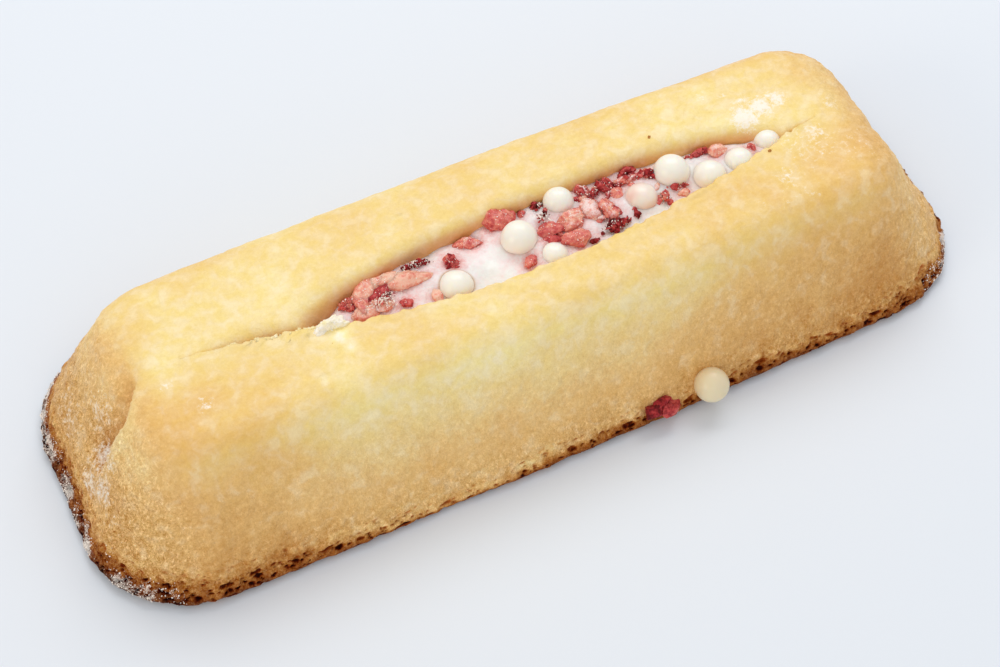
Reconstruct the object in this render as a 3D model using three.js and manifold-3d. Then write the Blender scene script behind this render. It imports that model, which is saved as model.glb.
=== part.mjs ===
import * as THREE from "three";
import { ParametricGeometry } from "three/addons/geometries/ParametricGeometry.js";
import { mergeVertices } from "three/addons/utils/BufferGeometryUtils.js";
import Module from "manifold-3d";

// A finger of sponge cake, slit along its top and filled with whipped cream,
// white pearls and dried strawberry. Millimetres, Z up, the long way along X,
// the front at minus Y and the middle of the base at the origin.

// Sponge: a bar baked in a mould and turned over, so its sides lean inwards
const LENGTH = 150;
const WIDTH = 53;
const HEIGHT = 24.2;
const SIDE_LEAN = 10.3;
const END_LEAN = 13.2;
const CORNER_RADIUS = 17.7;
const LEAST_RADIUS = 2.5;
const SHOULDER_RADIUS = 6;
const RIM_HEIGHT = 1.2;
const RIM_STEP = 0.9;
const FOOT_INSET = 1.5;
const UNEVEN = 0.3;
const BELLY = 0.7;

// Folds pressed into the left and the right end
const FOLDS = [
  { top: new THREE.Vector3(-59, 1, 21), foot: new THREE.Vector3(-69, -7, 11), depth: 1.5, width: 3 },
  { top: new THREE.Vector3(66, 2, 17), foot: new THREE.Vector3(72, -6, 7), depth: -1.4, width: 8 },
];

// Slit: the front lip bows forwards, and the gap behind it is a pointed oval
const SLIT_LEFT = -53;
const SLIT_RIGHT = 54;
const SLIT_DEPTH = 13;
const SLIT_TIP_DEPTH = 4;
const SLIT_TAPER = 0.45;
const CREASE = 0.3;
const LIP_BOW = { deep: 7.7, middle: 3, reach: 56, power: 1.4 };
const OPENING = { wide: 12.3, middle: 6.5, reach: 41, power: 0.7 };
const FRONT_ROUND = 0.9;
const BACK_ROUND = 2.2;

// Cream in the slit
const GAP = 0.3;
const CREAM_LEFT = -33.5;
const CREAM_RIGHT = 46.5;
const CREAM_LEVEL = 21;
const CREAM_CROWN = 1.3;

// Pearls: along, across, height of the middle, radius
const PEARLS = [
  [-11, -4.4, 21.6, 2.8],
  [1.2, -1.1, 23, 2.9],
  [10.2, 3.3, 22, 2.5],
  [4.9, -5.7, 21.6, 2.3],
  [22, -1.9, 22, 2.7],
  [28.7, 0.5, 22.5, 2.95],
  [33.9, -2.6, 22, 2.7],
  [39.5, -2.1, 22, 2.45],
  [45.8, -0.3, 21.6, 2.3],
  [21.8, -27.3, 4.5, 2.85],
];

// Strawberry flakes on the cream: along, across, long, wide, turn in degrees
const FLAKES = [
  [-22, 1, 5, 2, -12],
  [-17, 0.3, 5, 2, 6],
  [-25, -1.6, 3.6, 2.4, 15],
  [-21.4, -2.4, 3.4, 2.2, -8],
  [-14.8, 1.8, 3.8, 2, 12],
  [-9.6, 0.6, 2.4, 2.8, 30],
  [-5.4, 2, 3.4, 1.8, 10],
  [-3.2, 2.6, 3, 2.6, 40],
  [5.6, 1.7, 3, 2, 25],
  [9.4, -1.6, 4.2, 3, 35],
  [9.4, -5, 4.2, 2.8, -20],
  [13.6, -0.8, 3, 3.2, 10],
  [16.4, -3, 2.8, 3.4, 50],
  [16.6, 2, 3, 3, 0],
  [21.6, 2.6, 3.6, 1.8, 15],
  [27.6, -3.4, 3, 1.6, -15],
  [37.4, 1.2, 2.6, 1.8, 10],
];
const FLAKE_THICK = 2.2;

// On the sponge: a flake low on the front and a torn crumb on the front lip
const FRONT_FLAKE = { along: 12.8, across: -26.6, height: 3.8, long: 5, wide: 2.6, turn: 12 };
const TORN_CRUMB = { along: -31.5, across: -4.4, height: 24, long: 4, wide: 2, turn: 14 };

// Columns round the bar and rows up its profile
const LONG_COLUMNS = 36;
const CORNER_COLUMNS = 9;
const END_COLUMNS = 6;
const HALF_COLUMNS = LONG_COLUMNS + 2 * CORNER_COLUMNS + END_COLUMNS;
const COLUMNS = 2 * HALF_COLUMNS;
const SIDE_ROWS = 4;
const SHOULDER_ROWS = 4;
const TOP_ROWS = 3;
const LIP_ROWS = 3;
const WALL_ROWS = 3;

const { lerp, degToRad } = THREE.MathUtils;
const wasm = await Module();
wasm.setup();

// A number from -1 to 1 that is always the same for the same whole number
function draw(index) {
  const wave = Math.sin(index * 127.1 + 11.7) * 43758.5;
  return 2 * (wave - Math.floor(wave)) - 1;
}

// Merges equal corners and drops the triangles that closed up at a pole
function closed(geometry) {
  geometry.deleteAttribute("normal");
  geometry.deleteAttribute("uv");
  const merged = mergeVertices(geometry, 1e-3);
  const index = merged.getIndex().array;
  const kept = [];
  for (let i = 0; i < index.length; i += 3) {
    const [a, b, c] = index.slice(i, i + 3);
    if (a !== b && b !== c && c !== a) kept.push(a, b, c);
  }
  merged.setIndex(kept);
  return merged;
}

function toSolid(geometry) {
  return new wasm.Manifold(new wasm.Mesh({
    numProp: 3,
    vertProperties: new Float32Array(geometry.getAttribute("position").array),
    triVerts: new Uint32Array(geometry.getIndex().array),
  }));
}

function toGeometry(solid) {
  const mesh = solid.getMesh();
  const geometry = new THREE.BufferGeometry();
  geometry.setAttribute("position", new THREE.BufferAttribute(mesh.vertProperties, 3));
  geometry.setIndex(new THREE.BufferAttribute(mesh.triVerts, 1));
  geometry.computeVertexNormals();
  return geometry;
}

// Half the bar's outline, column by column, turned half round for the other half
function oblong(column, halfLength, halfWidth, radius) {
  const turn = column % COLUMNS < HALF_COLUMNS ? 1 : -1;
  const step = column % HALF_COLUMNS;
  const x0 = halfLength - radius;
  const y0 = halfWidth - radius;
  const first = step - LONG_COLUMNS;
  const end = first - CORNER_COLUMNS;
  const last = end - END_COLUMNS;
  let x = lerp(-x0, x0, step / LONG_COLUMNS);
  let y = -halfWidth;
  if (last >= 0) {
    x = x0 + radius * Math.cos(last / CORNER_COLUMNS * Math.PI / 2);
    y = y0 + radius * Math.sin(last / CORNER_COLUMNS * Math.PI / 2);
  } else if (end >= 0) {
    x = halfLength;
    y = lerp(-y0, y0, end / END_COLUMNS);
  } else if (first >= 0) {
    x = x0 + radius * Math.sin(first / CORNER_COLUMNS * Math.PI / 2);
    y = -y0 - radius * Math.cos(first / CORNER_COLUMNS * Math.PI / 2);
  }
  return new THREE.Vector2(turn * x, turn * y);
}

// A hump of height 1 at its middle that comes down to nothing at its reach
function hump({ middle, reach, power }, x) {
  const share = (x - middle) / reach;
  return Math.max(0, 1 - share * share) ** power;
}

function slitAt(x) {
  const gap = OPENING.wide * hump(OPENING, x);
  const share = (2 * x - SLIT_LEFT - SLIT_RIGHT) / (SLIT_RIGHT - SLIT_LEFT);
  const open = Math.sqrt(Math.max(0, 1 - share * share));
  const middle = gap / 2 - LIP_BOW.deep * hump(LIP_BOW, x);
  return { middle, half: gap / 2 + CREASE * open, depth: lerp(SLIT_TIP_DEPTH, SLIT_DEPTH, open) };
}

// Outer profile from the foot to the edge of the flat top: inset and height
function outerProfile() {
  const rows = [[FOOT_INSET, 0], [RIM_STEP / 3, RIM_HEIGHT / 3], [0, RIM_HEIGHT], [RIM_STEP, 2 * RIM_HEIGHT]];
  const slope = Math.atan2(HEIGHT - RIM_HEIGHT, SIDE_LEAN);
  const reach = SHOULDER_RADIUS * Math.tan(slope / 2);
  const start = [SIDE_LEAN - reach * Math.cos(slope), HEIGHT - reach * Math.sin(slope)];
  for (let i = 1; i < SIDE_ROWS; i += 1) {
    const share = i / SIDE_ROWS;
    rows.push([lerp(RIM_STEP, start[0], share), lerp(2 * RIM_HEIGHT, start[1], share)]);
  }
  for (let i = 0; i <= SHOULDER_ROWS; i += 1) {
    const angle = slope * (1 - i / SHOULDER_ROWS);
    const inset = SIDE_LEAN + reach - SHOULDER_RADIUS * Math.sin(angle);
    rows.push([inset, HEIGHT - SHOULDER_RADIUS * (1 - Math.cos(angle))]);
  }
  return rows;
}

const OUTER = outerProfile();
const TOP_START = OUTER.length;
const LIP_START = TOP_START + TOP_ROWS;
const WALL_START = LIP_START + LIP_ROWS;
const SPONGE_ROWS = WALL_START + WALL_ROWS + 1;

// Slow swells of the baked skin, none at the foot
function swell(x, y, z) {
  const waves = Math.sin(x * 0.11 + 0.6) + Math.sin(x * 0.23 + y * 0.17 + 2) + Math.sin(y * 0.21 - z * 0.3);
  return UNEVEN * waves / 2 * Math.min(1, z / RIM_HEIGHT);
}

function foldPush({ top, foot, depth, width }, point) {
  const near = new THREE.Line3(top, foot).closestPointToPoint(point, true, new THREE.Vector3());
  return depth * Math.exp(-((near.distanceTo(point) / width) ** 2));
}

function outerPoint(column, inset, z) {
  const lean = inset * END_LEAN / SIDE_LEAN;
  const radius = Math.max(CORNER_RADIUS - inset, LEAST_RADIUS);
  const flat = oblong(column, LENGTH / 2 - lean, WIDTH / 2 - inset, radius);
  const base = oblong(column, LENGTH / 2, WIDTH / 2, CORNER_RADIUS);
  const grow = 1 + swell(base.x, base.y, z) / base.length();
  const belly = BELLY * (1 - 2 * (2 * base.x / LENGTH) ** 2) * 2 * base.y / WIDTH;
  const point = new THREE.Vector3(flat.x * grow, flat.y * grow + belly, z);
  for (const fold of FOLDS) point.x += foldPush(fold, point);
  return point;
}

// A point of the slit's edge, moved out and down: tips where the ends' columns meet
function slitPoint(column, out, down, narrow) {
  const base = oblong(column, LENGTH / 2, WIDTH / 2, CORNER_RADIUS);
  const along = base.x / (LENGTH / 2);
  const across = base.y / (WIDTH / 2);
  const x = lerp(SLIT_LEFT, SLIT_RIGHT, (along + 1) / 2);
  const slit = slitAt(x);
  const roll = lerp(FRONT_ROUND, BACK_ROUND, (across + 1) / 2);
  const y = slit.middle + across * (slit.half * narrow + out * roll);
  return new THREE.Vector3(x + along * out * roll, y, HEIGHT - down * roll);
}

function spongePoint(column, row) {
  if (row === 0) return new THREE.Vector3(0, 0, 0);
  if (row <= TOP_START) return outerPoint(column, ...OUTER[row - 1]);
  if (row <= LIP_START) {
    const share = (row - TOP_START) / TOP_ROWS;
    const edge = outerPoint(column, ...OUTER[TOP_START - 1]);
    return edge.lerp(slitPoint(column, 1, 0, 1), share);
  }
  if (row <= WALL_START) {
    const angle = (row - LIP_START) / LIP_ROWS * Math.PI / 2;
    return slitPoint(column, 1 - Math.sin(angle), 1 - Math.cos(angle), 1);
  }
  const share = Math.min(1, (row - WALL_START) / WALL_ROWS);
  const narrow = row === SPONGE_ROWS ? 0 : 1 - SLIT_TAPER * share;
  const point = slitPoint(column, 0, 1, narrow);
  point.z = lerp(point.z, HEIGHT - slitAt(point.x).depth, share);
  return point;
}

function spongeGeometry() {
  const place = (u, v, target) => {
    target.copy(spongePoint(Math.round(u * COLUMNS) % COLUMNS, Math.round(v * SPONGE_ROWS)));
  };
  return closed(new ParametricGeometry(place, COLUMNS, SPONGE_ROWS));
}

function creamTop(x, across) {
  const waves = 0.4 * Math.sin(x * 0.33 + 1) + 0.25 * Math.sin(x * 0.8 + 3 * across);
  return CREAM_LEVEL + CREAM_CROWN * (1 - across * across) + waves;
}

// The cream's cross-section: over its top from back to front, then under it
function creamGeometry(sections, sides) {
  const place = (u, v, target) => {
    const x = lerp(CREAM_LEFT, CREAM_RIGHT, (1 - Math.cos(v * Math.PI)) / 2);
    const pinch = Math.sqrt(Math.sin(v * Math.PI));
    const slit = slitAt(x);
    const wide = Math.max(0, slit.half - GAP) * Math.min(1, 1.6 * pinch);
    const floor = HEIGHT - slit.depth + GAP;
    const turn = (u % 1) * 2;
    const across = turn < 1 ? 1 - 2 * turn : 2 * turn - 3;
    const lower = Math.min(1, (1 - Math.abs(across)) / SLIT_TAPER);
    const under = lerp(creamTop(x, 1), floor, lower);
    const middle = (creamTop(x, 1) + floor) / 2;
    const level = turn < 1 ? creamTop(x, across) : under;
    target.set(x, slit.middle + across * wide * 0.92, lerp(middle, level, Math.min(1, 1.6 * pinch)));
  };
  return closed(new ParametricGeometry(place, sides, sections));
}

function chunk(long, wide, thick, turn, seed) {
  const geometry = closed(new THREE.IcosahedronGeometry(1, 1));
  const corners = geometry.getAttribute("position");
  for (let i = 0; i < corners.count; i += 1) {
    const grow = 1 + 0.18 * draw(seed * 53 + i);
    corners.setXYZ(i, corners.getX(i) * grow, corners.getY(i) * grow, corners.getZ(i) * grow);
  }
  geometry.scale(long / 2, wide / 2, thick / 2);
  geometry.rotateZ(degToRad(turn));
  return geometry;
}

function pearlGeometry(radius) {
  return closed(new THREE.IcosahedronGeometry(radius, 2));
}

function pearlSockets() {
  const sockets = PEARLS.map(([x, y, z, radius]) => {
    return toSolid(pearlGeometry(radius + GAP).translate(x, y, z));
  });
  return wasm.Manifold.union(sockets);
}

const sockets = pearlSockets();

function sponge() {
  const stuck = [FRONT_FLAKE, TORN_CRUMB].map(({ along, across, height, long, wide, turn }, i) => {
    return toSolid(chunk(long, wide, FLAKE_THICK, turn, 90 + i).translate(along, across, height));
  });
  return wasm.Manifold.union([toSolid(spongeGeometry()).subtract(sockets), ...stuck]);
}

function cream() {
  const flakes = FLAKES.map(([x, y, long, wide, turn], i) => {
    const slit = slitAt(x);
    const z = creamTop(x, (y - slit.middle) / slit.half) + FLAKE_THICK / 4;
    return toSolid(chunk(long, wide, FLAKE_THICK, turn, i + 1).translate(x, y, z));
  });
  const filling = toSolid(creamGeometry(40, 24));
  return wasm.Manifold.union([filling, ...flakes]).subtract(sockets);
}

function part(name, geometry, colour, roughness) {
  const material = new THREE.MeshStandardMaterial({ color: colour, roughness, metalness: 0 });
  const mesh = new THREE.Mesh(geometry, material);
  mesh.name = name;
  return mesh;
}

const cake = new THREE.Group();
cake.name = "strawberry_shortcake";
cake.add(part("sponge", toGeometry(sponge()), "#e8c886", 0.85));
cake.add(part("cream", toGeometry(cream()), "#f3e9e4", 0.5));
PEARLS.forEach(([x, y, z, radius], i) => {
  const pearl = part(`pearl_${i + 1}`, pearlGeometry(radius), "#f3ecdc", 0.4);
  pearl.position.set(x, y, z);
  cake.add(pearl);
});

export default cake;
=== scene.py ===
# %% [markdown]
# # A finger of strawberry shortcake
# The cake is a bar of sponge that was baked in a mould and turned over. Its flat top is slit along the
# middle and filled with whipped cream, white pearls and dried strawberry. The solids give the places and
# sizes, and this lesson dresses them: every piece is a surface worked out with numpy, in millimetres, and
# put into a mesh.

# %% Load the frame
import math

import bpy
import numpy as np
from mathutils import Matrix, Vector


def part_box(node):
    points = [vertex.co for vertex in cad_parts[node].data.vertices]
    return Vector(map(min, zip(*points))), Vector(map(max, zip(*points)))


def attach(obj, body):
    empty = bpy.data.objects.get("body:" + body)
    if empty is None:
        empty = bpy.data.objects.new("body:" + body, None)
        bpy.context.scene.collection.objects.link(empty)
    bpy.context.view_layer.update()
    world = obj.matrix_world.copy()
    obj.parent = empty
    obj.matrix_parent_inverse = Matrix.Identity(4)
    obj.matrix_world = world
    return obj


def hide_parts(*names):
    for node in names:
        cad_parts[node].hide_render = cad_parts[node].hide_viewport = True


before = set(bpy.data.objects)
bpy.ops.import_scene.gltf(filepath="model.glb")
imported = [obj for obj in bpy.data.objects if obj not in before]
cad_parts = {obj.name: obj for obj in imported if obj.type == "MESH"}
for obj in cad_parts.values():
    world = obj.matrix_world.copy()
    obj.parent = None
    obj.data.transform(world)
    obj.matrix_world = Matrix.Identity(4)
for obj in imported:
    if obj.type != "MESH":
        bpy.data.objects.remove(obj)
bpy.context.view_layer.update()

# %% [markdown]
# ## Camera
# The picture looks down on the cake from the front left, through a short telephoto lens, and the numbers
# were fitted to it. The camera is placed by an aim point, two angles and a distance, because those are
# easier to read than a matrix.

# %% Camera
AIM = Vector((-0.0020, -0.0010, 0.0))
AZIMUTH = math.radians(-26.34)
ELEVATION = math.radians(54.5)
DISTANCE = 0.2918
NEAREST = 0.01
LENS_MM, SENSOR_MM = 64.8, 36.0

level = math.cos(ELEVATION)
away = Vector((math.sin(AZIMUTH) * level, -math.cos(AZIMUTH) * level, math.sin(ELEVATION)))
camera = bpy.data.objects.new("camera", bpy.data.cameras.new("camera"))
camera.data.sensor_width = SENSOR_MM
camera.data.lens = LENS_MM
camera.data.clip_start = NEAREST
camera.location = AIM + away * DISTANCE
camera.rotation_euler = (-away).to_track_quat("-Z", "Y").to_euler()
bpy.context.scene.collection.objects.link(camera)
bpy.context.scene.camera = camera
print("camera at", [round(v, 4) for v in camera.location])

# %% [markdown]
# ## Noise
# Baked things are uneven at every size. Blender has noise textures for shading, but the shape itself needs
# noise too, so two small functions give it for whole arrays of points: smooth noise for swells and crumb,
# and round cells for the open pores along the rim.

# %% Noise for whole arrays
BITS = 0x7FFFFFFF


def hashed(cell, seed):
    """A number from 0 to 1 for each lattice cell: its three whole numbers are multiplied by large odd
    numbers, added and bit-mixed."""
    mixed = cell[..., 0] * 374761393 + cell[..., 1] * 668265263 + cell[..., 2] * 1440662683
    mixed = (mixed + seed * 97531) & BITS
    mixed = ((mixed ^ (mixed >> 13)) * 1274126177) & BITS
    mixed = ((mixed ^ (mixed >> 15)) * 1103515245) & BITS
    return ((mixed ^ (mixed >> 16)) & 0xFFFFF) / 1048575.0


def noise(points, size, seed=0):
    """Smooth noise from -1 to 1: the hashed corners of each point's cell, blended by 3t^2 - 2t^3 on each
    axis."""
    scaled = points / size
    low = np.floor(scaled).astype(np.int64)
    share = scaled - low
    share = share * share * (3 - 2 * share)
    total = np.zeros(points.shape[:-1])
    for corner in np.ndindex(2, 2, 2):
        weight = np.prod(np.where(np.array(corner) == 1, share, 1 - share), axis=-1)
        total += weight * hashed(low + np.array(corner), seed)
    return 2 * total - 1


def wander(points, size, seeds):
    """A move on each axis by its own noise. Added to points, it takes the lattice out of what is drawn on
    them."""
    return np.stack([noise(points, size, seed) for seed in seeds], -1)


def pores(points, spacing, radius, seed=0):
    """Depth from 0 to 1 in round holes: one hole in each lattice cell at a hashed place with a hashed
    radius, and the depth is 1 minus the squared distance to its middle over its squared radius."""
    low = np.floor(points / spacing).astype(np.int64)
    deepest = np.zeros(points.shape[:-1])
    for step in np.ndindex(3, 3, 3):
        cell = low + np.array(step) - 1
        middle = (cell + np.stack([hashed(cell, seed + k) for k in range(3)], -1)) * spacing
        reach = radius * (0.35 + 0.65 * hashed(cell, seed + 3))
        depth = 1 - np.sum((points - middle) ** 2, axis=-1) / reach ** 2
        deepest = np.maximum(deepest, depth)
    return deepest


def step_up(value, low, high):
    """0 below low, 1 above high, and 3t^2 - 2t^3 between them."""
    t = np.clip((value - low) / (high - low), 0, 1)
    return t * t * (3 - 2 * t)


def hump(x, middle, reach, power):
    """1 at its middle, down to 0 at its reach: (1 - distance^2) to a power."""
    return np.maximum(0, 1 - ((x - middle) / reach) ** 2) ** power


print("noise sample", np.round(noise(np.array([[0.2, 0.5, 0.9], [3.1, 2.2, 7.7]]), 1.0), 3))

# %% [markdown]
# ## From grids to meshes
# Every shape below is a grid of points: rows from the bottom to the top, columns round it. One function
# turns a grid into triangles and welds the points that fall together at poles and seams, so that each shell
# is closed. A second one joins shells into one piece and hangs it on the part. Numbers that the finish
# needs, such as how brown the crust is, travel as attributes on the points.

# %% Grids to pieces
MM = 0.001
WELD_MM = 1e-4
WELD_SHIFT = 0.237


def shell(points, **marks):
    """A closed shell from a grid: each square gives two triangles, the columns wrap round, points closer
    than the weld size become one, and triangles that closed up are dropped. The shift keeps round numbers
    off the border between two weld cells."""
    rows, columns = points.shape[:2]
    index = np.arange(rows * columns).reshape(rows, columns)
    right = np.roll(index, -1, axis=1)
    lower = np.stack([index[:-1], right[:-1], right[1:]], -1).reshape(-1, 3)
    upper = np.stack([index[:-1], right[1:], index[1:]], -1).reshape(-1, 3)
    flat = points.reshape(-1, 3)
    keys = np.round(flat / WELD_MM + WELD_SHIFT).astype(np.int64)
    first, where = np.unique(keys, axis=0, return_index=True, return_inverse=True)[1:]
    triangles = where.reshape(-1)[np.concatenate([lower, upper])]
    a, b, c = triangles.T
    triangles = triangles[(a != b) & (b != c) & (c != a)]
    values = {name: np.broadcast_to(mark, (rows, columns)).reshape(-1)[first] for name, mark in marks.items()}
    return flat[first], triangles, values


def hang(name, shells, material, nodes, smooth=True):
    """One piece from its shells: points in metres, smooth or flat faces, marks as attributes. It rides on
    the one body and stands in for its nodes."""
    starts = np.cumsum([0] + [len(points) for points, _, _ in shells[:-1]])
    points = np.concatenate([points for points, _, _ in shells]) * MM
    triangles = np.concatenate([faces + start for (_, faces, _), start in zip(shells, starts)])
    mesh = bpy.data.meshes.new(name)
    mesh.from_pydata(points.tolist(), [], triangles.tolist())
    for mark in shells[0][2]:
        values = np.concatenate([marks[mark] for _, _, marks in shells]).astype(np.float32)
        mesh.attributes.new(mark, "FLOAT", "POINT").data.foreach_set("value", values)
    if smooth:
        mesh.shade_smooth()
    mesh.materials.append(material)
    piece = bpy.data.objects.new(name, mesh)
    bpy.context.scene.collection.objects.link(piece)
    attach(piece, "root")
    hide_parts(*nodes)
    print(name, len(points), "points", len(triangles), "triangles")


print("points closer than", WELD_MM, "mm are welded")

# %% [markdown]
# ## Finishes
# Colours are written as they look on a screen, so one function turns them into the linear values that light
# is added up in. One more function adds a node with its settings and links and gives back an output, and
# each finish is then a short list of such lines. A pattern's scale is one over its size, and sizes are in
# millimetres while the mesh is in metres.

# %% Colours and nodes
TIMES, PLUS, LESS, TIMES_PLUS = [
    {"operation": name} for name in ("MULTIPLY", "ADD", "SUBTRACT", "MULTIPLY_ADD")]
COLOURS = {"data_type": "RGBA"}
TINT = {"data_type": "RGBA", "blend_type": "MULTIPLY"}


def linear(code):
    """Linear red, green, blue and 1 from an sRGB hex code, by the sRGB curve."""
    parts = np.array([int(code[i:i + 2], 16) for i in (1, 3, 5)]) / 255
    curve = np.where(parts <= 0.04045, parts / 12.92, ((parts + 0.055) / 1.055) ** 2.4)
    return (*curve.tolist(), 1.0)


def per_mm(size):
    """The texture scale that gives a pattern this many millimetres across."""
    return 1000.0 / size


def add(tree, kind, settings=None, values=None, links=None, out=0):
    """One output of a new node of a kind: settings are its own choices, values fill its inputs, links join
    inputs to outputs. The setting stops gives a colour ramp its places and colours, and the setting span
    gives a map range the two values it reads from and the two it leads to."""
    node = tree.nodes.new("ShaderNode" + kind)
    for name, choice in (settings or {}).items():
        if name == "stops":
            ramp = node.color_ramp.elements
            while len(ramp) < len(choice):
                ramp.new(0.5)
            for element, (place, colour) in zip(ramp, choice):
                element.position = place
                element.color = linear(colour)
        elif name == "span":
            for socket, value in zip(node.inputs[1:5], choice):
                socket.default_value = value
        else:
            setattr(node, name, choice)
    for name, value in (values or {}).items():
        node.inputs[name].default_value = value
    for name, socket in (links or {}).items():
        tree.links.new(node.inputs[name], socket)
    return node.outputs[out]


def finish(name, values):
    """A new material with its shader's plain values set. Returns it with its node tree and shader."""
    material = bpy.data.materials.new(name)
    material.use_nodes = True
    shader = material.node_tree.nodes["Principled BSDF"]
    for socket, value in values.items():
        shader.inputs[socket].default_value = value
    return material, material.node_tree, shader


print("linear mid grey", round(linear("#808080")[0], 3))

# %% [markdown]
# ## Baked sponge: browning
# The skin of a sponge cake is fine dried crumb. It is matt, and runs from pale yellow through gold to dark
# brown where the mould was hottest. Real crumb lets light in a little, but scattering inside such a small
# mesh turned its yellow grey, so the colours carry that warmth instead, as painted shade that is browner
# as well as darker in the gaps of the crumb. Five marks come with the mesh: bake is how brown a place is,
# pore how deep it lies in a bubble, sugar how much icing sugar is on it, rough how coarse its crumb is, and
# juice how much strawberry has crept in.

# %% Baked sponge: browning
MOTTLE_MM, CRUMB_MM, GRAIN_MM, FINE_MM, GLINT_MM = 2.2, 0.6, 0.9, 0.22, 0.45

sponge_finish, tree, shader = finish("baked_sponge", {"Roughness": 0.5})
place = add(tree, "TexCoord", out="Object")
bake, pore, sugar, rough, juice = [
    add(tree, "Attribute", {"attribute_name": name}, out="Fac")
    for name in ("bake", "pore", "sugar", "rough", "juice")]
mottle, crumb, grain, fine = [
    add(tree, "TexNoise", links={"Vector": place},
        values={"Scale": per_mm(size), "Detail": 3.0, "Roughness": blur, "Distortion": bend})
    for size, blur, bend in (
        (MOTTLE_MM, 0.5, 0.4), (CRUMB_MM, 0.65, 0.3), (GRAIN_MM, 0.85, 0.2), (FINE_MM, 0.6, 0.0))]
# Dry crust has no gloss
gloss = add(tree, "MapRange", {"span": (0.45, 0.6, 0.35, 0.06)}, links={"Value": bake})
tree.links.new(shader.inputs["Specular IOR Level"], gloss)
# The skin browned a little unevenly, and the gaps between its grains are painted browner as shade
swing = add(tree, "MapRange", {"span": (0.3, 0.7, 0.022, -0.022)}, links={"Value": mottle})
uneven = add(tree, "Math", LESS, {1: 0.5}, {0: grain})
uneven = add(tree, "Math", TIMES, links={0: uneven, 1: rough})
browning_and_shade = add(tree, "Math", PLUS, links={0: bake, 1: swing})
browning_and_shade = add(tree, "Math", TIMES_PLUS, {1: -0.22}, {0: uneven, 2: browning_and_shade})
skin = add(tree, "ValToRGB", {"stops": [
    (0.0, "#fff6e4"), (0.08, "#fceab4"), (0.17, "#f6da9b"), (0.24, "#f2cf8c"), (0.3, "#eec37f"),
    (0.36, "#e9b972"), (0.42, "#e0ad66"), (0.5, "#d29851"), (0.6, "#b87738"), (0.7, "#9c5823"),
    (0.8, "#7a4018"), (1.0, "#381b10")]}, links={"Fac": browning_and_shade})
# Moist crumb is yellower than dry crumb, most of all on the smooth top
moist = add(tree, "ValToRGB", {"stops": [(0.36, "#fffee0"), (0.6, "#ffffff")]}, links={"Fac": mottle})
even = add(tree, "MapRange", {"span": (0.4, 0.75, 1.0, 0.3)}, links={"Value": rough})
moist = add(tree, "Mix", TINT, links={0: even, 6: skin, 7: moist}, out=2)
# Dry spots in the pale skin are paler than the moist crumb round them
dry = add(tree, "MapRange", {"span": (0.55, 0.7, 0.0, 0.18)}, links={"Value": mottle})
young = add(tree, "MapRange", {"span": (0.5, 0.4, 0.0, 1.0)}, links={"Value": bake})
dry = add(tree, "Math", TIMES, links={0: dry, 1: young})
spots = add(tree, "Mix", COLOURS, {7: linear("#fff1d0")}, {0: dry, 6: moist}, out=2)
print(sponge_finish.name, "browning", len(tree.nodes), "nodes")

# %% [markdown]
# ## Baked sponge: crumb, pores and sugar
# Light is caught between the grains of the crumb: gaps are darker and tops lighter, with hardly a change of
# hue. A bump shades by slope alone, so this light and shade is also painted: a small warm-white share is
# added to the colour on the tops and taken from it in the gaps, and glints on dried flakes are painted on.
# The bubbles get painted shade, and juice and sugar then lie over it.

# %% Baked sponge: crumb, pores and sugar
# Painted shade in the gaps of the crumb and painted light on the tops of its grains
coarse = add(tree, "Math", TIMES, links={0: rough, 1: rough})
painted_grain_shade = add(tree, "Math", LESS, {1: 0.5}, {0: fine})
painted_grain_shade = add(tree, "Math", TIMES, links={0: painted_grain_shade, 1: coarse})
uneven = add(tree, "Math", TIMES, {1: 0.42}, {0: uneven})
light = add(tree, "Math", TIMES_PLUS, {1: 0.45}, {0: painted_grain_shade, 2: uneven})
# Painted glints: dried flakes of crumb, drawn out upwards, are made lighter where they would catch the light
drawn = add(tree, "VectorMath", TIMES, {1: (1.0, 1.0, 0.5)}, {0: place})
painted_glint = add(tree, "TexNoise", values={"Scale": per_mm(GLINT_MM), "Detail": 2.0, "Roughness": 0.7},
            links={"Vector": drawn})
painted_glint = add(tree, "MapRange", {"span": (0.54, 0.7, 0.0, 0.42)}, links={"Value": painted_glint})
coarse = add(tree, "Math", {"operation": "MULTIPLY", "use_clamp": True}, {1: 0.6}, {0: coarse})
light = add(tree, "Math", TIMES_PLUS, links={0: painted_glint, 1: coarse, 2: light})
weaker = add(tree, "MapRange", {"span": (0.42, 0.65, 1.0, 0.25)}, links={"Value": bake})
light = add(tree, "Math", TIMES, links={0: light, 1: weaker})
# The painted light and shade go into the colour as a warm-white share
lit = add(tree, "VectorMath", TIMES_PLUS, {1: (0.75, 0.6, 0.37)}, {0: light, 2: spots})
# Painted light and shade in the bubbles: a shallow pore is painted amber for light through its thin wall,
# a deep one almost black for its shade
wall = add(tree, "ValToRGB", {"stops": [
    (0.0, "#ffffff"), (0.4, "#dca25a"), (0.7, "#8f4c1e"), (1.0, "#4a2210")]}, links={"Fac": pore})
hole = add(tree, "Mix", TINT, {0: 1.0}, {6: lit, 7: wall}, out=2)
# Strawberry juice has crept into the sponge beside the cream
blushed = add(tree, "Mix", COLOURS, {7: linear("#d8996e")}, {0: juice, 6: hole}, out=2)
# Icing sugar stays on the tops of the grains, so a thin dusting is broken into flecks
powder = add(tree, "Math", TIMES_PLUS, {1: 1.6}, {0: grain, 2: sugar})
powder = add(tree, "MapRange", {"span": (1.3, 1.65, 0.0, 0.8)}, links={"Value": powder})
colour = add(tree, "Mix", COLOURS, {7: linear("#fff8ee")}, {0: powder, 6: blushed}, out=2)
tree.links.new(shader.inputs["Base Color"], colour)
# The coarser the crumb, the deeper its relief
depth = add(tree, "Math", TIMES, {1: 0.0003}, {0: rough})
relief = add(tree, "Bump", links={"Height": crumb, "Distance": depth})
tree.links.new(shader.inputs["Normal"], relief)
print(sponge_finish.name, len(tree.nodes), "nodes")

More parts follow.
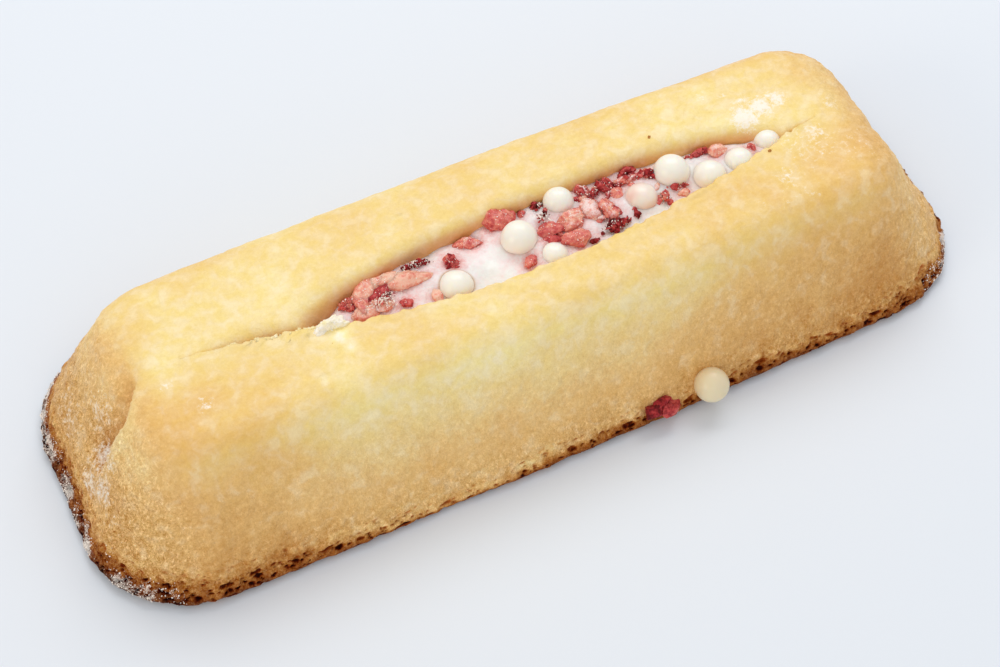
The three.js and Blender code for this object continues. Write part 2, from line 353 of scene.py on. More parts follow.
# %% [markdown]
# ## The bar's outline and profile
# Seen from above the bar is an oblong with round corners. A round-cornered oblong of any size is a smaller
# core oblong plus a radius times an outward direction, so each column keeps one place on the core and one
# direction, and a ring at any inset is one line of arithmetic. The profile gives the inset and height of
# every row: the foot, the swollen rim, the leaning side and the round shoulder. A cube with bevels would
# be quicker, but its corners would not widen towards the foot as these do.

# %% Outline columns and profile rows
LENGTH, WIDTH, HEIGHT = 150.0, 53.0, 24.2
SIDE_LEAN, END_LEAN = 10.3, 13.2
CORNER_RADIUS, LEAST_RADIUS, SHOULDER_RADIUS = 17.7, 2.5, 6.0
RIM_HEIGHT, FOOT_INSET, RIM_TURN = 1.2, 1.5, 50


def outline(long, corner, end):
    """Core place and outward direction of each column, anticlockwise from the front left: a long side, a
    corner, an end and a corner, then the same again turned half round."""
    side, edge = np.arange(long) / long, np.arange(end) / end
    turn = np.arange(corner) / corner * math.pi / 2
    core_x = np.concatenate([2 * side - 1, np.ones(2 * corner + end)])
    core_y = np.concatenate([-np.ones(long + corner), 2 * edge - 1, np.ones(corner)])
    out_x = np.concatenate([np.zeros(long), np.sin(turn), np.ones(end), np.cos(turn)])
    out_y = np.concatenate([-np.ones(long), -np.cos(turn), np.zeros(end), np.sin(turn)])
    return [np.concatenate([half, -half]) for half in (core_x, core_y, out_x, out_y)]


def oblong(columns, inset):
    """X and Y of the round-cornered oblong at an inset: (half size - radius) * core + radius * outward."""
    core_x, core_y, out_x, out_y = columns
    radius = np.maximum(CORNER_RADIUS - inset, LEAST_RADIUS)
    half_x = LENGTH / 2 - inset * END_LEAN / SIDE_LEAN
    half_y = WIDTH / 2 - inset
    return (half_x - radius) * core_x + radius * out_x, (half_y - radius) * core_y + radius * out_y


def profile(rim_rows, side_rows, shoulder_rows):
    """Inset and height of each row: a quarter and more of an ellipse round the rim, a straight side, and an
    arc that meets the side and the flat top without a kink."""
    angle = np.radians(np.linspace(-90, RIM_TURN, rim_rows))
    rim = FOOT_INSET * (1 - np.cos(angle)), RIM_HEIGHT * (1 + np.sin(angle))
    slope = math.atan2(HEIGHT - RIM_HEIGHT, SIDE_LEAN)
    reach = SHOULDER_RADIUS * math.tan(slope / 2)
    top = SIDE_LEAN - reach * math.cos(slope), HEIGHT - reach * math.sin(slope)
    share = np.linspace(0, 1, side_rows + 1)[1:-1]
    side = [first[-1] + share * (last - first[-1]) for first, last in zip(rim, top)]
    bend = slope * (1 - np.linspace(0, 1, shoulder_rows))
    arc = SIDE_LEAN + reach - SHOULDER_RADIUS * np.sin(bend), HEIGHT - SHOULDER_RADIUS * (1 - np.cos(bend))
    return [np.concatenate(parts) for parts in zip(rim, side, arc)]


columns = outline(long=268, corner=60, end=38)
inset, height = profile(rim_rows=7, side_rows=46, shoulder_rows=15)
print(len(columns[0]), "columns,", len(inset), "outer rows")

# %% [markdown]
# ## Slit
# A knife slit along the top was pushed open by the filling. Its front lip bows towards the front, the gap
# behind it is a pointed oval, and beyond the gap the two lips close to a crease. The back lip rolls in
# softly, the front lip is crisper. A Boolean cut would leave hard edges and long thin faces, so the slit
# is made of the last rings of the bar's own grid, shaped by functions of the place along it.

# %% Slit
SLIT_LEFT, SLIT_RIGHT, SLIT_DEPTH, TIP_DEPTH, SLIT_TAPER = -53.0, 54.0, 13.0, 0.1, 0.45
GAP_WIDE, GAP_MIDDLE, GAP_REACH = 12.3, 6.5, 41.0
BOW, BOW_MIDDLE, BOW_REACH = 7.7, 3.0, 56.0
FRONT_ROUND, BACK_ROUND, CREASE = 1.0, 2.6, 0.03


def slit_at(x):
    """Middle line, half gap and depth of the slit, how open it is from 0 to 1, and the rounding of its back
    lip. Beyond the gap only the rounding of the back lip is left of the slit's depth."""
    gap = GAP_WIDE * hump(x, GAP_MIDDLE, GAP_REACH, 0.7)
    share = (2 * x - SLIT_LEFT - SLIT_RIGHT) / (SLIT_RIGHT - SLIT_LEFT)
    shut = np.sqrt(np.maximum(0, 1 - share ** 2))
    middle = gap / 2 - BOW * hump(x, BOW_MIDDLE, BOW_REACH, 1.4)
    rise = step_up(1 - np.abs(share), 0.0, np.where(share < 0, 0.26, 0.13))
    back = BACK_ROUND * (0.03 + 0.97 * rise) * (1 + 0.5 * hump(x, -36, 14, 1))
    depth = TIP_DEPTH + back + (SLIT_DEPTH - TIP_DEPTH - back) * shut * step_up(gap, 0.5, 4)
    return middle, gap / 2 + CREASE * shut, depth, gap / GAP_WIDE, back


def slit_ring(columns, out, down, narrow):
    """The ring of points round the slit's edge, moved outwards and down by shares of the lip's rounding. The
    front lip is rounded only where the slit is open, and the back lip goes on rolling in along the crease."""
    x, y = oblong(columns, 0.0)
    along, across = x / (LENGTH / 2), y / (WIDTH / 2)
    x = SLIT_LEFT + (SLIT_RIGHT - SLIT_LEFT) * (along + 1) / 2
    middle, half, _, open_share, back = slit_at(x)
    front = FRONT_ROUND * (0.12 + 0.88 * step_up(open_share, 0.0, 0.6))
    behind = step_up(across, -0.6, 0.6)
    roll = front + (back - front) * behind
    wide = roll + behind * 0.4 * (BACK_ROUND - np.minimum(back, BACK_ROUND))
    y = middle + across * (half * narrow + out * wide)
    return np.stack([x + along * out * roll, y, HEIGHT - down * roll], -1)


print("gap at the middle", round(float(slit_at(np.array(GAP_MIDDLE))[1] * 2), 2), "mm")

# %% [markdown]
# ## The smooth bar
# The bar swells a little in the middle, and its right end was pressed in when it was turned out. Outside,
# top, lips, walls and the slit's floor are rows of one grid, so that the skin is one closed mesh with no
# seam to hide.

# %% The smooth bar
SWELL, BELLY = 0.15, 0.7
PRESS_DEPTH, PRESS_MIDDLE, PRESS_REACH = 1.4, np.array([69, -2, 12]), np.array([10, 9, 9])
TOP_ROWS, LIP_ROWS, WALL = 30, 8, (0.08, 0.16, 0.26, 0.5, 1.0)


def swollen(points, columns):
    """The plain bar made uneven: slow waves in its girth, a belly that is widest in the middle, and the
    right end pressed in."""
    x, y = oblong(columns, 0.0)
    z = points[..., 2]
    waves = np.sin(x * 0.11 + 0.6) + np.sin(x * 0.23 + y * 0.17 + 2) + np.sin(y * 0.21 - z * 0.3)
    grow = 1 + SWELL * waves * np.minimum(1, z / RIM_HEIGHT) / np.hypot(x, y)
    belly = BELLY * (1 - 2 * (2 * x / LENGTH) ** 2) * 2 * y / WIDTH
    moved = np.stack([points[..., 0] * grow, points[..., 1] * grow + belly, z], -1)
    pressed = np.linalg.norm((moved - PRESS_MIDDLE) / PRESS_REACH, axis=-1)
    moved[..., 0] -= PRESS_DEPTH * np.exp(-pressed ** 2)
    return moved


def bar(columns, inset, height, top_rows, lip_rows, wall):
    """The whole skin, row by row: the middle of the base, the outer profile, the flat top drawn in to the
    slit, the rolled lips, the slit's walls and its floor, where front and back meet."""
    x, y = oblong(columns, inset[:, None])
    outer = swollen(np.stack([x, y, np.broadcast_to(height[:, None], x.shape)], -1), columns)
    share = np.arange(1, top_rows + 1)[:, None, None] / top_rows
    top = outer[-1] + share * (slit_ring(columns, 1, 0, 1) - outer[-1])
    angle = np.arange(1, lip_rows + 1) / lip_rows * math.pi / 2
    lips = np.stack([slit_ring(columns, 1 - math.sin(a), 1 - math.cos(a), 1) for a in angle])
    walls = [slit_ring(columns, 0, 1, 1 - SLIT_TAPER * s) for s in wall]
    walls = np.stack(walls + [slit_ring(columns, 0, 1, 0)])
    depth = HEIGHT - slit_at(walls[0, :, 0])[2]
    walls[..., 2] += np.array([*wall, 1.0])[:, None] * (depth - walls[..., 2])
    base = np.zeros((1,) + outer.shape[1:])
    return np.concatenate([base, outer, top, lips, walls])


def normals(points):
    """Outward directions of a grid: the step along the columns crossed with the step along the rows."""
    across = np.roll(points, -1, axis=1) - np.roll(points, 1, axis=1)
    facing = np.cross(across, np.gradient(points, axis=0))
    return facing / np.maximum(np.linalg.norm(facing, axis=-1, keepdims=True), 1e-9)


smooth_bar = bar(columns, inset, height, TOP_ROWS, LIP_ROWS, WALL)
print("bar grid", smooth_bar.shape[:2])

# %% [markdown]
# ## Sugar and pale places
# Icing sugar fell in a few places, and the skin stayed pale in others. They were placed from the picture,
# as soft round patches: a painted mask would do the same, but would need an image.

# %% Sugar and pale places
# Along, across, height, reach and share
SUGAR_PATCHES = np.array([
    (44, 4.2, 24, 3.0, 1.0), (47.5, 5, 24, 2.6, 1.0), (50.5, 5.5, 24, 2.4, 0.8), (45.5, 7, 24, 2.4, 0.7),
    (40, 11, 24, 1.8, 0.55), (43, 9.6, 24, 1.6, 0.6), (57.8, 1, 23.5, 2.6, 0.62), (52.3, -3.2, 24, 3.0, 0.62),
    (43.7, -9.2, 23.5, 2.6, 0.64), (53.4, -12.2, 21, 2.4, 0.75), (51.5, -14, 20, 1.8, 0.72),
    (45.4, -14, 20, 2.2, 0.68), (37.4, -12.2, 23, 2.0, 0.62), (41.6, -15.6, 18, 1.6, 0.62),
    (-66, -5.5, 14, 3.6, 0.80), (-67.5, -3, 12, 4.2, 0.78), (-69, -7, 10, 4.2, 0.72),
    (-71, -3, 7.5, 5.5, 0.62), (-66, 2, 16, 6.0, 0.56), (-56.5, -3.5, 24, 1.6, 0.6),
    (-52.5, -9, 24, 2.2, 0.6), (-70, 8, 9, 8.0, 0.52), (-68, -12, 8, 6.0, 0.5), (50, -5, 24, 8, 0.47),
    (56, -8, 22, 7, 0.46), (63, -10, 18, 6, 0.5), (44, -12, 22, 7, 0.44)])
PALE_PATCHES = np.array([
    (-30.5, -6.5, 24, 1.4, 0.16), (-30, -9, 24, 1.1, 0.12), (-45, 5, 24, 9, 0.06), (-36, -23.5, 3, 6, 0.06),
    (-33, -13, 23.5, 3, 0.06), (40, 6, 24, 10, 0.04)])


def patches(points, places):
    """The strongest of several soft round patches: share * exp(-(distance / reach)^2)."""
    strongest = np.zeros(points.shape[:-1])
    for along, aside, up, reach, share in places:
        far = np.sum((points - np.array([along, aside, up])) ** 2, axis=-1) / reach ** 2
        strongest = np.maximum(strongest, share * np.exp(-far))
    return strongest


print(len(SUGAR_PATCHES), "places with sugar,", len(PALE_PATCHES), "pale places")

# %% [markdown]
# ## How the bar was baked
# These functions say what the oven did to each place on the bar. They take points and give numbers, so that
# the skin and the crust below it, which are two meshes, agree where they meet.

# %% Crumb, fold and crust
CRUST_HIGH, CRUST_TUCK, CRUST_THICK = 2.6, 2.6, 1.5
FOLD_DEEP, FOLD_RIDGE, FOLD_FADE, FOLD_FRONT = 1.8, 0.5, 5.0, 4.4


def crumb_relief(points):
    """Height of the crumb: soft swells, round crumbs where a bent noise is above zero, and fine grains."""
    wavy = points + 0.6 * wander(points, 1.7, (5, 6, 7))
    swells = 0.13 * noise(points, 6.0, 1) + 0.08 * noise(points, 2.6, 2)
    return swells + 0.16 * np.maximum(0, noise(wavy, 1.5, 3)) + 0.1 * noise(wavy, 0.95, 4)


def coarseness(points):
    """How coarse the crumb is: fine on top, coarser down the sides, coarsest low down and at both ends."""
    x, _, z = np.moveaxis(points, -1, 0)
    side, low = 1 - step_up(z, 12, 23), 1 - step_up(z, 3, 9)
    ends = np.maximum(1.1 * step_up(-x, 57, 68), 0.5 * step_up(x, 54, 66))
    return 0.4 + 0.35 * side + np.maximum(0.5 * low, ends)


def fold(points):
    """Depth of the fold in the left end. Its crease runs down the end face and leans back near the top. In
    front of the crease the sponge stands up as a rounded step, and behind it the hollow fades slowly."""
    x, y, z = np.moveaxis(points, -1, 0)
    behind = y + FOLD_FRONT - 3.2 * np.maximum(0, (z - 20.5) / 2.8) ** 2
    upright = step_up(z, 9, 13.5) * (1 - step_up(z, 22.4, 24.2))
    hollow = step_up(behind, -0.6, 0.3) * np.exp(-(np.maximum(0, behind) / FOLD_FADE) ** 2)
    ridge = np.exp(-((behind + 1.8) / 1.5) ** 2)
    return upright * step_up(-x, 54, 60) * (FOLD_DEEP * hollow - FOLD_RIDGE * ridge)


def crust_reach(x, y):
    """How far up the bubbly crust reaches: low left of the middle of the front, high at the corners and the
    left end."""
    flat = np.stack(np.broadcast_arrays(x, y, 0.0), -1)
    low = hump(x, -20, 24, 1) * (y < 0)
    corner = 1.5 * step_up(x, 46, 60) - 0.9 * step_up(x, 64, 71) + 1.9 * step_up(-x, 46, 60)
    return CRUST_HIGH + corner - low + 0.6 * noise(flat, 6.0, 10) + 0.5 * noise(flat, 2.2, 11)


def peeled(points):
    """1 where the skin stuck to the mould and pale crumb shows: a ragged strip low on the front."""
    x, y, z = np.moveaxis(points, -1, 0)
    strip = np.exp(-((z - 3.0) / 1.8) ** 2) * hump(x, -18, 32, 0.5) * step_up(-y, 18, 20)
    streaked = noise(points * np.array([0.45, 1, 1.4]), 2.0, 24)
    streaked = streaked + 0.5 * noise(points * np.array([0.6, 1, 1.4]), 0.9, 25)
    return step_up(strip + 0.6 * streaked, 0.55, 0.85)


print("crust reach at the front, left to right", np.round(crust_reach(np.linspace(-60, 60, 7), -26.0), 1))

# %% [markdown]
# ## How brown it is
# The mould was hottest at its rim and at its ends, and the flat top, which lay in the bottom of the mould,
# browned evenly. So the tone is read from the height, then pushed up or down by place.

# %% Browning
# Heights up the side, how brown the middle is there, and how much browner the ends are
TONE_HEIGHTS, TONES = (2, 4.5, 8, 12.5, 17.5, 21.5, 24.2), (0.41, 0.37, 0.32, 0.23, 0.16, 0.10, 0.17)
SPREAD_HEIGHTS, SPREADS = (3, 8, 12.5, 17.5, 21.5, 24.2), (0.13, 0.13, 0.18, 0.2, 0.16, 0.0)
CRUST_TONE, FOOT_TONE = 0.55, 0.18


def baked(points):
    """How brown each place is, from 0 for bare crumb to 1 for burnt. Browning follows the height up the side,
    grows from left of the middle towards both ends, and is strongest in the fold and in the crust."""
    x, y, z = np.moveaxis(points, -1, 0)
    quarter = 1.15 * np.where(x < -18, step_up(-x, 25, 58), step_up(x, -15, 62))
    spread = np.interp(z, SPREAD_HEIGHTS, SPREADS)
    spread += 0.08 * step_up(z, 21.5, 24.2) * step_up(-y, -3, 9)
    edge = 0.1 * step_up(np.abs(x) + 2.5 * noise(points, 8.0, 8), 54, 64) * step_up(z, 18, 23)
    tone = np.interp(z, TONE_HEIGHTS, TONES) + quarter * spread + edge
    # Both ends are made paler; at the right end this is partly less browning, partly painted light from
    # behind
    tone -= 0.11 * step_up(x, 56, 66) + 0.07 * step_up(-x, 58, 66)
    tone -= 0.12 * step_up(y, 6, 16) * step_up(-x, 48, 60) * step_up(z, 11, 18)
    tone += (0.045 * step_up(y, 11, 18) + 0.04 * step_up(x, 54, 62)) * step_up(z, 19, 22)
    tone += 0.05 * noise(points, 11.0, 9) + 0.03 * noise(points, 4.0, 12) + 0.12 * fold(points)
    crust = 1 - step_up(z - crust_reach(x, y), -0.7, 0.7)
    tone += crust * (CRUST_TONE + 0.03 * quarter + FOOT_TONE * (1 - step_up(z, 1.0, 3.0)) - tone)
    return tone - patches(points, PALE_PATCHES) - 0.06 * peeled(points) * (1 - crust)


print("tone of the top's middle", np.round(baked(np.array([[0.0, -12.0, HEIGHT]])), 2))

# %% [markdown]
# ## Sponge
# The smooth bar is moved along its own outward directions by the crumb and the fold, and its front lip is
# torn into ragged crumb where the slit is shut. A displacement in the material would not be part of the
# mesh, so the points themselves move. Where the crust covers it, the skin is drawn in so that the crust's
# bubbles have room.

# %% Sponge
def front_lip(points, reach):
    """1 on the edge of the front lip, fading within a reach from it."""
    x, y, z = np.moveaxis(points, -1, 0)
    middle, half = slit_at(x)[:2]
    return np.exp(-((y - middle + half + 0.3) / reach) ** 2) * step_up(z, 22.5, 23.6)


def dress_sponge(points):
    """The bar moved along its outward directions by its crumb, fold, softened front shoulder and torn lip.
    The base and the slit's floor stay plain."""
    x, y, z = np.moveaxis(points, -1, 0)
    rows = np.arange(len(points))[:, None]
    loose = (rows > 1) & (rows < len(points) - 3)
    outer, inner = rows < len(inset) + 1, rows > len(inset) + TOP_ROWS
    rough = coarseness(points)
    move = crumb_relief(points) * np.interp(rough, (0.4, 0.75, 1.2, 1.6), (0.6, 1.6, 1.9, 2.3)) - fold(points)
    move -= 0.25 * peeled(points) + 0.5 * np.exp(-((y + 16.5) / 4.5) ** 2 - ((z - 21.5) / 4) ** 2)
    shut = 1 - step_up(slit_at(x)[3], 0.0, 0.15)
    in_front = columns[1] < 0.3
    ledge = 0.3 + 0.5 * noise(points, 1.3, 13) + 0.25 * noise(points, 3.0, 14) + 0.35 * noise(points, 0.7, 28)
    torn = in_front * shut * hump(x, 1.5, 54.0, 0.6) * np.where(inner, 1.0, front_lip(points, 1.6))
    ragged = torn * (0.8 * noise(points, 1.4, 26) + 0.8 * noise(points, 0.7, 27))
    nibbled = 0.3 * noise(points, 1.2, 15) + 0.15 * noise(points, 0.6, 16)
    move += front_lip(points, 1.2) * (1 - shut) * nibbled
    move *= 1 - inner * shut
    move -= 0.8 * outer * (1 - step_up(z - crust_reach(x, y), 0.6, 1.4))
    dressed = points + normals(points) * (move * loose)[..., None]
    dressed[..., 1] += ragged * loose
    dressed[..., 2] = np.maximum(dressed[..., 2] + torn * ledge * loose, 0)
    # Down the slit's walls the tone browns with depth: partly crust colour, partly painted shade
    below = HEIGHT - z
    wall = inner * step_up(below, 0.1, 1.3)
    bake = baked(points) * (1 - wall) + wall * (0.2 + 0.2 * step_up(below, 0.5, 2.6))
    juice = inner * step_up(below, 0.4, 1.5) * np.clip(0.45 + 0.5 * noise(points, 5.0, 23), 0, 0.75)
    juice *= 0.5 + 0.5 * step_up(-x, -10, 15)
    sugar = patches(points, SUGAR_PATCHES)
    return dressed, {"bake": bake, "pore": 0.0, "sugar": sugar, "rough": rough, "juice": juice}


sponge_grid, sponge_marks = dress_sponge(smooth_bar)
hang("sponge_skin", [shell(sponge_grid, **sponge_marks)], sponge_finish, ["sponge"])

# %% [markdown]
# ## Rim crust
# Batter that rose against the mould's edge baked to a dark, bubbly crust, which is now at the foot. It could
# be part of the skin, but its bubbles need points twice as close along the rim and four times as close up
# it, so it is a closed band of its own round the outline. Its face follows the bar's profile, its upper
# edge dips under the skin, and burst bubbles of three sizes are sunk into it.

# %% Rim crust
def bubbles(points, reach):
    """Depth from 0 to 1 of the burst bubbles: three sizes, drawn out along the rim, thinner and shallower
    upwards."""
    drawn = points * np.array([0.6, 0.6, 1.3]) + 0.25 * wander(points, 0.9, (35, 36, 37))
    dense = 1 - step_up(points[..., 2], 0.3 * reach, reach + 2.4)
    large = pores(drawn, 2.0, 0.8, 31) * step_up(dense + 0.8 * noise(points, 3.2, 32), 0.4, 0.6)
    middling = pores(drawn, 1.15, 0.55, 41) * step_up(dense + 0.8 * noise(points, 1.9, 33), 0.15, 0.35)
    small = pores(drawn, 0.7, 0.34, 51) * step_up(dense + 0.8 * noise(points, 1.3, 34), 0.1, 0.3)
    return np.maximum(large, np.maximum(middling, 0.8 * small)) * (0.5 + 0.5 * step_up(dense, 0.3, 0.9))


def rim_crust(columns, face_rows, back_rows):
    """Rows up the face of the crust and down its back, which lies the crust's thickness further in. The face
    is moved along its outward directions by crumb, lumps and bubbles."""
    x, y = oblong(columns, 0.0)
    reach = crust_reach(x, y)
    fine_inset, fine_height = profile(rim_rows=40, side_rows=60, shoulder_rows=10)
    share = np.concatenate([np.linspace(0, 1, face_rows), np.linspace(1, 0, back_rows), [0.0]])[:, None]
    face = np.arange(len(share))[:, None] < face_rows
    z = share * (reach + CRUST_TUCK)
    lift = 0.1 - 0.6 * step_up(z - reach, 1.2, 2.2)
    ring_x, ring_y = oblong(columns, np.interp(z, fine_height, fine_inset) - lift + CRUST_THICK * ~face)
    points = swollen(np.stack([ring_x, ring_y, z], -1), columns)
    bubble = bubbles(points, reach) * face
    above = step_up(z, 0.6, 2.2)
    lumpy = 0.2 * noise(points, 2.3, 16) + 0.15 * noise(points, 0.95, 17) + 0.1 * noise(points, 0.45, 18)
    lumpy *= (0.3 + 0.7 * above) * (1 - step_up(z - reach, -1.5, 0.5)) * (1 + 0.6 * step_up(x, 50, 62))
    move = ((0.8 + 1.3 * above) * crumb_relief(points) + lumpy - (0.35 + 0.55 * above) * bubble) * face
    grid = points + normals(points) * move[..., None]
    grid[..., 2] = np.maximum(grid[..., 2], 0)
    grid[-1] = grid[0]
    end = step_up(np.abs(x), 60, 70)
    foot = 1 - step_up(z, 0.5 * reach, 1.05 * reach)
    bake = baked(points) + foot * end * np.where(x < 0, 0.14, 0.04)
    bake = bake + 0.08 * noise(points, 1.4, 19) + 0.05 * noise(points, 0.5, 20)
    far_right = (x > 0) & (y > -5)
    sugar = foot * step_up(z, 0.2, 1.8) * end * (0.5 - 0.25 * far_right + 0.6 * noise(points, 2.5, 22))
    pore = step_up(bubble, 0.08, 0.5) * (1 - 0.55 * step_up(z, 0.55 * reach, 1.1 * reach))
    rough = coarseness(points) + 0.5 * (1 - step_up(z - reach, -0.8, 0.6))
    return grid, {"bake": bake, "pore": pore, "sugar": np.clip(sugar, 0, 1), "rough": rough, "juice": 0.0}


crust_grid, crust_marks = rim_crust(outline(long=520, corner=125, end=80), face_rows=46, back_rows=8)
hang("rim_crust", [shell(crust_grid, **crust_marks)], sponge_finish, ["sponge"])

# %% [markdown]
# ## Lumps and grains
# Strawberry, crumbs and sugar are all small lumps. A particle system would scatter them, but the export needs
# real meshes. Large ones are balls with their own fine grid. Small ones share a ball of a few faces, which
# is stretched, turned and made uneven at each place.

# %% Lumps and grains
BREAKS = 9
GRAIN_ROWS, GRAIN_COLUMNS = 4, 5


def ball(rows, columns):
    """Outward directions over a sphere, from the lowest point to the highest."""
    v = np.linspace(0, math.pi, rows)[:, None]
    u = np.arange(columns)[None] / columns * 2 * math.pi
    return np.stack(np.broadcast_arrays(np.sin(v) * np.cos(u), np.sin(v) * np.sin(u), -np.cos(v)), -1)


def lump(middle, size, turn, seed, knobbly=0.07, rugged=0.15, least=0.6, rows=36, columns=52):
    """A torn lump and how far each place stands out: a ball cut by random flat breaks, where the nearest
    break gives the radius, made knobbly by small cells and rugged by noise of three sizes, stretched to its
    size, turned about the upright and set in place."""
    draw = np.random.default_rng(seed)
    facing = draw.normal(size=(BREAKS, 3))
    facing /= np.linalg.norm(facing, axis=1, keepdims=True)
    out = ball(rows, columns)
    cut = np.min(draw.uniform(least, 1.0, BREAKS) / np.maximum(out @ facing.T, 1e-3), axis=-1)
    spot = out * np.asarray(size) / 2 + seed * 7.3
    knobs = pores(spot, 0.55, 0.45, seed)
    uneven = noise(spot, 1.2, seed + 1) + 0.7 * noise(spot, 0.55, seed + 2)
    uneven += 0.4 * noise(spot, 0.28, seed + 3)
    radius = np.minimum(1.2, cut) + knobbly * (knobs - 0.4) + rugged * uneven
    x, y, z = np.moveaxis(out * radius[..., None] * np.asarray(size) / 2, -1, 0)
    cos, sin = math.cos(math.radians(turn)), math.sin(math.radians(turn))
    turned = np.stack([x * cos - y * sin, x * sin + y * cos, z], -1)
    return turned + middle, knobs - 0.5 * uneven


def grains(centres, sizes, seed, flat=0.5, **marks):
    """Many small lumps as one shell: a ball of 20 faces at each centre, stretched by a drawn amount on each
    axis, with its corners moved in and out, and turned every way by the Q of a random matrix."""
    draw = np.random.default_rng(seed)
    points, triangles, _ = shell(ball(GRAIN_ROWS, GRAIN_COLUMNS))
    count = len(centres)
    stretch = draw.uniform(flat, 1.35, (count, 1, 3)) * np.asarray(sizes)[:, None, None] / 2
    uneven = draw.uniform(0.65, 1.25, (count, len(points), 1))
    turn = np.linalg.qr(draw.normal(size=(count, 3, 3)))[0]
    turn[..., 0] *= np.linalg.det(turn)[:, None]
    placed = points * stretch * uneven @ turn + centres[:, None]
    faces = triangles + np.arange(count)[:, None, None] * len(points)
    values = {name: np.repeat(np.broadcast_to(mark, count), len(points)) for name, mark in marks.items()}
    return placed.reshape(-1, 3), faces.reshape(-1, 3), values


print("faces of a grain", len(shell(ball(GRAIN_ROWS, GRAIN_COLUMNS))[1]))

# %% [markdown]
# ## Torn crumb
# Where the knife dragged, the front lip of the left crease broke into crumbs, and one ivory piece of inner
# crumb stands on it. Three dark specks of burnt crumb lie on the top. They are grains and one large lump
# with the sponge's own finish, and only their marks differ.

# %% Torn crumb
CRUMBS, CRUMBS_LEFT, CRUMBS_RIGHT = 70, -46, -29
# Specks: along, across, size, how brown
SPECKS = np.array([(28.3, 7.1, 0.6, 0.58), (43.9, -3.7, 0.5, 0.56), (-32.2, -7.3, 0.4, 0.5)])
TORN_MIDDLE, TORN_SIZE, TORN_TURN = (-31.6, -4.3, 23.4), (4.6, 3.6, 3.6), -12


def lip_crumbs(count, seed):
    """Crumbs along the front lip of the left crease: their places, and sizes with more small ones than
    large."""
    draw = np.random.default_rng(seed)
    x = draw.uniform(CRUMBS_LEFT, CRUMBS_RIGHT, count)
    middle, half = slit_at(x)[:2]
    sizes = 0.35 + 0.75 * draw.random(count) ** 2
    y = middle - half - 0.05 + 0.22 * draw.normal(size=count)
    return np.stack([x, y, HEIGHT - 0.05 - 0.5 * np.maximum(0, y - middle + half)], -1), sizes


crumb_places, crumb_sizes = lip_crumbs(CRUMBS, 71)
crumb_places = np.concatenate([crumb_places, SPECKS[:, :3] * (1, 1, 0) + (0, 0, HEIGHT)])
crumb_sizes = np.concatenate([crumb_sizes, SPECKS[:, 2]])
crumb_bake = np.concatenate([0.04 + 0.08 * np.random.default_rng(72).random(CRUMBS), SPECKS[:, 3]])
torn_grid = lump(TORN_MIDDLE, TORN_SIZE, TORN_TURN, 73, knobbly=0.15, rugged=0.22, rows=60, columns=90)[0]
torn_shells = [
    grains(crumb_places, crumb_sizes, 74, bake=crumb_bake, pore=0.0, sugar=0.0, rough=1.0, juice=0.0),
    shell(torn_grid, bake=0.01, pore=0.0, sugar=0.6, rough=0.5, juice=0.0)]
hang("torn_crumb", torn_shells, sponge_finish, ["sponge"])

# %% [markdown]
# ## Pearls
# White pearls are puffed grain in white chocolate: almost round, ivory, with a satin gloss, and light goes
# about a millimetre into them. Their places and sizes come from the solids' boxes. A plain sphere would look
# machined, so each is a ball with a slight unevenness. One has picked up strawberry juice. The others
# have a painted pink reflection on their lower parts, and the one outside on the front is painted darker
# and yellower for the shade and the warm light from the sponge beside it.

# %% Pearls
pearl_finish, tree, shader = finish("white_chocolate", {
    "Roughness": 0.28, "Specular IOR Level": 0.5, "Subsurface Weight": 0.35, "Subsurface Scale": 0.0012,
    "Subsurface Radius": (1.0, 0.75, 0.5)})
stain, butter = [add(tree, "Attribute", {"attribute_name": name}, out="Fac") for name in ("stain", "butter")]
# Painted shade and warm light: the pearl on the front is tinted darker and yellower
painted_ivory = add(tree, "Mix", COLOURS, {6: linear("#faf4e7"), 7: linear("#e2d0a0")}, {0: butter}, out=2)
painted_ivory = add(tree, "Mix", COLOURS, {7: linear("#efb9a6")}, {0: stain, 6: painted_ivory}, out=2)
tree.links.new(shader.inputs["Base Color"], painted_ivory)
PEARL_NODES = [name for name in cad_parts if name.startswith("pearl")]
STAINED, SHADED_PEARL = "pearl_5", "pearl_10"

pearl_shells, pearl_places = [], []
for number, name in enumerate(PEARL_NODES):
    low_corner, high_corner = (np.array(corner) * 1000 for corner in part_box(name))
    centre, radius = (low_corner + high_corner) / 2, np.max(high_corner - low_corner) / 2
    out = ball(48, 72)
    uneven = 1 + 0.012 * noise(out, 0.8, 40 + number) + 0.004 * noise(out, 0.2, 40 + number)
    juice = 0.45 + 0.4 * noise(out, 0.7, 90) if name == STAINED else 0.08 * noise(out, 0.6, 91 + number)
    # Painted reflection: the lower part of each pearl but the one on the front is tinted pink
    juice = np.clip(juice + (0.3 if name != SHADED_PEARL else 0.0) * (0.4 - out[..., 2]), 0, 1)
    grid = centre + out * radius * uneven[..., None]
    # Painted shade and warm light: strong on the pearl on the front, a trace on the others
    pearl_shells.append(shell(grid, stain=juice, butter=0.75 if name == SHADED_PEARL else 0.03))
    pearl_places.append((*centre, radius))
hang("pearls", pearl_shells, pearl_finish, PEARL_NODES)
